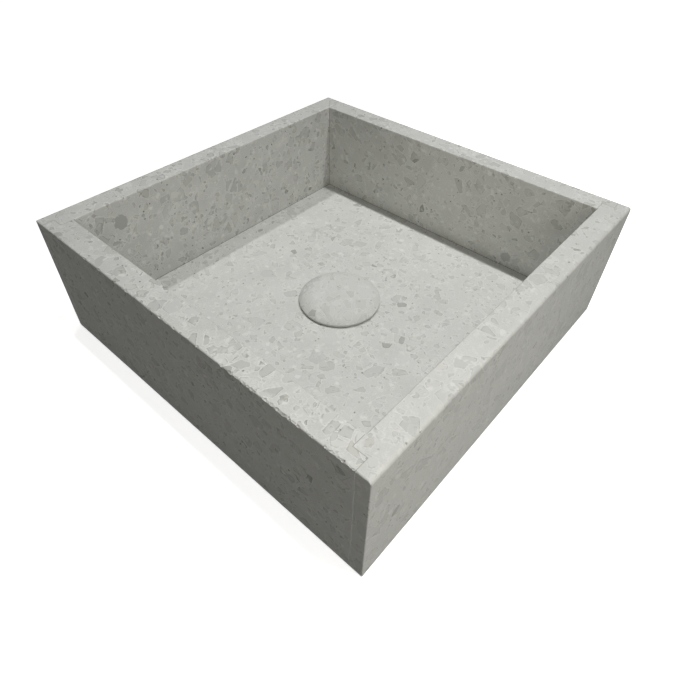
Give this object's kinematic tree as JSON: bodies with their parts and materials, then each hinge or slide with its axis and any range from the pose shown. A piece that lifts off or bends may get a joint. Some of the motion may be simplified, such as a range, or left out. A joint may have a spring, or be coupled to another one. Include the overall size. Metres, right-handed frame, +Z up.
{
  "type": "countertop basin",
  "caption": "Square vessel basin of bonded terrazzo slabs with a push-to-open waste under a low domed stone cap and a threaded tail.",
  "frame": {"origin": "centre of the underside that rests on the worktop, on the waste's axis", "axes": "+Z up; +X to the right and +Y to the back, square to the walls; the front wall is at -Y"},
  "size_m": [0.33, 0.33, 0.165],
  "materials": {
    "terrazzo": "pale cement matrix with grey stone chips, ground and honed matt",
    "joint_glue": "grey tinted epoxy joint",
    "chromed_brass": "turned brass, polished and chrome plated",
    "plain_brass": "turned brass left plain",
    "stainless_steel": "turned and brushed stainless steel",
    "spring_steel": "drawn stainless spring wire",
    "rubber": "moulded black rubber",
    "white_plastic": "moulded white polyethylene",
    "acetal": "moulded natural acetal",
    "cap_adhesive": "cured epoxy adhesive"
  },
  "bodies": {
    "basin": {"bottom_slab": "terrazzo", "front_wall": "terrazzo", "back_wall": "terrazzo", "left_wall": "terrazzo", "right_wall": "terrazzo", "corner_glue": "joint_glue", "floor_glue": "joint_glue", "waste_body": "chromed_brass", "flange_seal": "rubber", "lower_gasket": "rubber", "slip_washer": "white_plastic", "back_nut": "plain_brass", "latch_sleeve": "chromed_brass", "latch_spring": "spring_steel", "latch_plug": "chromed_brass", "latch_nut": "plain_brass"},
    "cap": {"waste_cap": "terrazzo", "cap_bond": "cap_adhesive", "cap_carrier": "stainless_steel", "cap_seal": "rubber", "plunger": "acetal", "index_ring": "acetal"}
  },
  "joints": [
    {"name": "cap_lift", "type": "slide", "parent": "basin", "child": "cap", "axis": [0, 0, 1], "range_m": [0, 0.009], "deforming": ["latch_spring"]}
  ]
}
